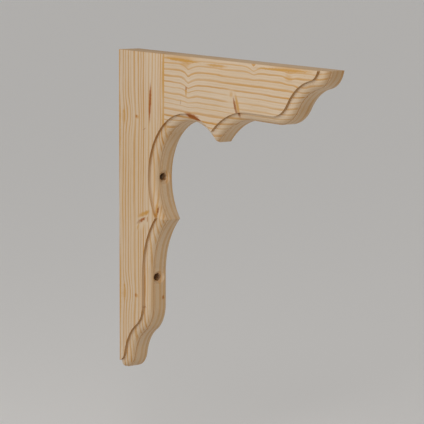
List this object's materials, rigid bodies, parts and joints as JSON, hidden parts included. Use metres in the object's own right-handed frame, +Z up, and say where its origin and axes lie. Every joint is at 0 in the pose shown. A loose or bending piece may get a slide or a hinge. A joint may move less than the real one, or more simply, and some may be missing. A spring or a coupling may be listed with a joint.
{
  "type": "shelf bracket corbel",
  "caption": "Scroll-cut wooden corbel bracket: an upright board screwed to a wall, an arm board under a shelf, and one stepped and rounded moulding along the inner edge.",
  "frame": {"origin": "middle of the upright's back edge face, which lies flat on the wall", "axes": "+X out from the wall along the arm, +Z up towards the shelf, +Y away from the moulded face"},
  "size_m": [0.293, 0.021, 0.29],
  "materials": {
    "upright_pine": "sanded softwood, fine satin clear coat, grain vertical",
    "arm_pine": "sanded softwood, fine satin clear coat, grain horizontal"
  },
  "bodies": {
    "root": {"upright": "upright_pine", "arm": "arm_pine"}
  },
  "joints": []
}
